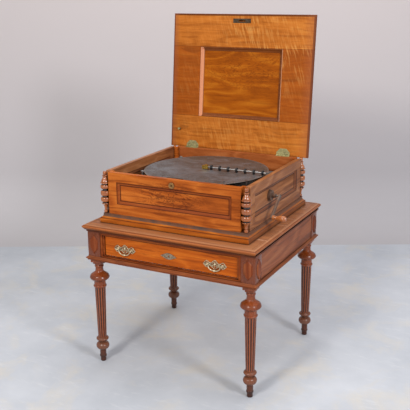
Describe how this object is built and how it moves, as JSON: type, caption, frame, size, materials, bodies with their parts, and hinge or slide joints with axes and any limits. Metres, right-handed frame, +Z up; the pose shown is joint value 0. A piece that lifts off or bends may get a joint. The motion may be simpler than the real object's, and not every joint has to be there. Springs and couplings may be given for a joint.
{
  "type": "disc music box",
  "caption": "Spring-driven disc music box with a side crank and open lid, standing on a drawer table with turned and fluted legs.",
  "frame": {"origin": "floor level, under the middle of the footprint, crank included", "axes": "+X to the right, where the crank is; +Y to the back, where the lid's hinges are; +Z up"},
  "size_m": [0.8315, 0.7742, 1.4891],
  "materials": {
    "walnut_top": "satin varnish",
    "walnut_leg": "satin varnish",
    "walnut_frieze": "satin varnish",
    "drawer_wood": "bare wood",
    "case_wood": "satin varnish",
    "column_wood": "polished varnish",
    "lid_wood": "satin varnish",
    "panel_wood": "satin varnish",
    "pull_brass": "worn",
    "hinge_brass": "worn",
    "lock_steel": "dark, worn",
    "bed_iron": "painted dark",
    "wheel_brass": "turned",
    "arbor_steel": "turned",
    "comb_steel": "ground",
    "disc_steel": "dark, stained",
    "roller_black": "hard, matt",
    "crank_iron": "rusty",
    "grip_wood": "polished by hand"
  },
  "bodies": {
    "root": {"table_top": "walnut_top", "leg_front_left": "walnut_leg", "leg_front_right": "walnut_leg", "leg_rear_left": "walnut_leg", "leg_rear_right": "walnut_leg", "block_panels": "walnut_frieze", "frieze_boards": "walnut_frieze", "drawer_rails": "walnut_frieze", "drawer_surround": "walnut_frieze", "cornice": "walnut_top", "base_moulding": "walnut_top", "drawer_runners": "drawer_wood", "case_front": "case_wood", "case_back": "case_wood", "case_left": "case_wood", "case_right": "case_wood", "case_floor": "drawer_wood", "case_plinth": "case_wood", "corner_posts": "case_wood", "corner_columns": "column_wood", "case_lock": "lock_steel", "lock_escutcheon": "pull_brass", "case_hinge_leaves": "hinge_brass", "bedplate": "bed_iron", "bed_posts": "bed_iron", "motor_plate": "bed_iron", "star_gantry": "wheel_brass", "combs": "comb_steel", "edge_guides": "comb_steel", "bar_bracket": "bed_iron", "crank_boss": "crank_iron"},
    "drawer": {"drawer_front": "walnut_frieze", "drawer_box": "drawer_wood", "pull_plates": "pull_brass", "drawer_escutcheon": "pull_brass", "drawer_lock": "lock_steel"},
    "left_bail": {"pull_bail_left": "pull_brass"},
    "right_bail": {"pull_bail_right": "pull_brass"},
    "lid": {"lid_frame": "lid_wood", "lid_panel": "panel_wood", "lid_moulding": "lid_wood", "strike_plate": "lock_steel", "stay_screw": "hinge_brass", "lid_hinge_leaves": "hinge_brass"},
    "bolt": {"lock_bolt": "lock_steel"},
    "crank": {"crank_shaft": "arbor_steel", "crank_arm": "crank_iron"},
    "grip": {"crank_grip": "grip_wood"},
    "arbor": {"winding_arbor": "arbor_steel"},
    "barrel": {"spring_barrel": "wheel_brass"},
    "turntable": {"turntable": "wheel_brass", "disc": "disc_steel"},
    "governor": {"governor_wheel": "wheel_brass"},
    "fan": {"governor_fan": "wheel_brass"},
    "click": {"ratchet_click": "arbor_steel"},
    "bar": {"pressure_bar": "comb_steel", "bar_hub": "wheel_brass"},
    "rollers": {"bar_rollers": "roller_black"},
    "stars": {"star_wheels": "comb_steel"},
    "lever": {"stop_lever": "arbor_steel"}
  },
  "joints": [
    {"name": "lid_hinge", "type": "hinge", "parent": "root", "child": "lid", "pos_m": [-0.01525, 0.3116, 0.868], "axis": [-1, 0, 0], "range_deg": [-95.25, 0]},
    {"name": "drawer_slide", "type": "slide", "parent": "root", "child": "drawer", "axis": [0, -1, 0], "range_m": [0, 0.4]},
    {"name": "left_bail_swing", "type": "hinge", "parent": "drawer", "child": "left_bail", "pos_m": [-0.22525, -0.35, 0.551], "axis": [-1, 0, 0], "range_deg": [0, 100]},
    {"name": "right_bail_swing", "type": "hinge", "parent": "drawer", "child": "right_bail", "pos_m": [0.19475, -0.35, 0.551], "axis": [-1, 0, 0], "range_deg": [0, 100]},
    {"name": "bolt_slide", "type": "slide", "parent": "root", "child": "bolt", "axis": [0, 0, 1], "range_m": [0, 0.008]},
    {"name": "crank_turn", "type": "hinge", "parent": "root", "child": "crank", "pos_m": [0.34875, -0.06404, 0.783], "axis": [1, 0, 0], "continuous": true},
    {"name": "grip_spin", "type": "hinge", "parent": "crank", "child": "grip", "pos_m": [0.35725, -0.14844, 0.71562], "axis": [1, 0, 0], "continuous": true},
    {"name": "arbor_turn", "type": "hinge", "parent": "root", "child": "arbor", "pos_m": [0.05973, -0.06404, 0.748], "axis": [0, 0, 1], "continuous": true},
    {"name": "disc_turn", "type": "hinge", "parent": "root", "child": "turntable", "pos_m": [-0.01525, 0, 0.839], "axis": [0, 0, 1], "continuous": true},
    {"name": "barrel_turn", "type": "hinge", "parent": "root", "child": "barrel", "pos_m": [0.05973, -0.06404, 0.728], "axis": [0, 0, 1], "continuous": true},
    {"name": "governor_turn", "type": "hinge", "parent": "root", "child": "governor", "pos_m": [-0.05343, -0.03818, 0.748], "axis": [0, 0, 1], "continuous": true},
    {"name": "fan_turn", "type": "hinge", "parent": "root", "child": "fan", "pos_m": [-0.07719, -0.06194, 0.728], "axis": [0, 0, 1], "continuous": true},
    {"name": "click_swing", "type": "hinge", "parent": "root", "child": "click", "pos_m": [0.08463, -0.10389, 0.758], "axis": [0, 0, 1], "range_deg": [-12, 0], "stiffness_Nm_per_rad": 0.02, "springref_deg": -17.19},
    {"name": "bar_swing", "type": "hinge", "parent": "root", "child": "bar", "pos_m": [0.27175, 0, 0.8566], "axis": [0, 1, 0], "range_deg": [0, 95]},
    {"name": "rollers_spin", "type": "hinge", "parent": "bar", "child": "rollers", "pos_m": [0.12975, 0, 0.8566], "axis": [1, 0, 0], "continuous": true},
    {"name": "stars_spin", "type": "hinge", "parent": "root", "child": "stars", "pos_m": [0.12625, 0, 0.834], "axis": [1, 0, 0], "continuous": true},
    {"name": "lever_swing", "type": "hinge", "parent": "root", "child": "lever", "pos_m": [0.13475, -0.16, 0.815], "axis": [0, 0, 1], "range_deg": [-8, 6]}
  ],
  "couplings": [
    {"joint": "arbor_turn", "follows": "crank_turn", "ratio": 0.33333},
    {"joint": "barrel_turn", "follows": "disc_turn", "ratio": -0.25},
    {"joint": "governor_turn", "follows": "disc_turn", "ratio": -8},
    {"joint": "fan_turn", "follows": "disc_turn", "ratio": 48}
  ]
}
